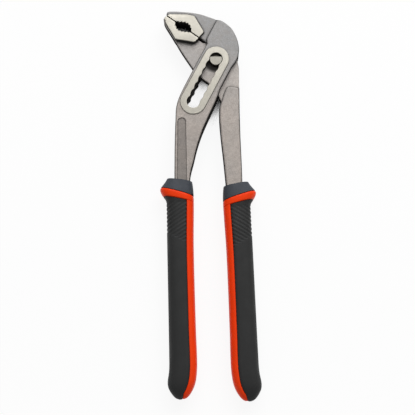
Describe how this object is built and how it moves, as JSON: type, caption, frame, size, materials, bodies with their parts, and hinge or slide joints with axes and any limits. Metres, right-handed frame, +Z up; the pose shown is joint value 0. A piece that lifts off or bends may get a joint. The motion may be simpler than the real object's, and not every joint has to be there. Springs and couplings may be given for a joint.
{
  "type": "water pump pliers",
  "caption": "Water pump pliers with a box joint: a pin steps along a notched slot to set the jaw width, with toothed pipe jaws and two-colour soft grips.",
  "frame": {"origin": "centre of the footprint, on the plane the tool lies on", "axes": "+Y along the tool from the grips to the jaws, +Z up out of the front face, +X to the right seen from the front"},
  "size_m": [0.0632, 0.2506, 0.0158],
  "materials": {
    "forged_steel": "satin",
    "ground_steel": "satin",
    "orange_plastic": "satin",
    "charcoal_rubber": "matte"
  },
  "bodies": {
    "slotted_side": {"slotted_lever": "forged_steel", "left_grip_collar": "charcoal_rubber", "left_grip_sleeve": "orange_plastic", "left_grip_cover": "charcoal_rubber"},
    "pin_body": {"joint_pin": "ground_steel"},
    "inner_side": {"inner_lever": "forged_steel", "right_grip_collar": "charcoal_rubber", "right_grip_sleeve": "orange_plastic", "right_grip_cover": "charcoal_rubber"}
  },
  "joints": [
    {"name": "adjust_slide", "type": "slide", "parent": "slotted_side", "child": "pin_body", "axis": [-0.454, -0.891, 0], "range_m": [0, 0.0321]},
    {"name": "jaw_pivot", "type": "hinge", "parent": "pin_body", "child": "inner_side", "pos_m": [0.00392, 0.09175, 0.0079], "axis": [0, 0, 1], "range_deg": [0, 50]}
  ]
}
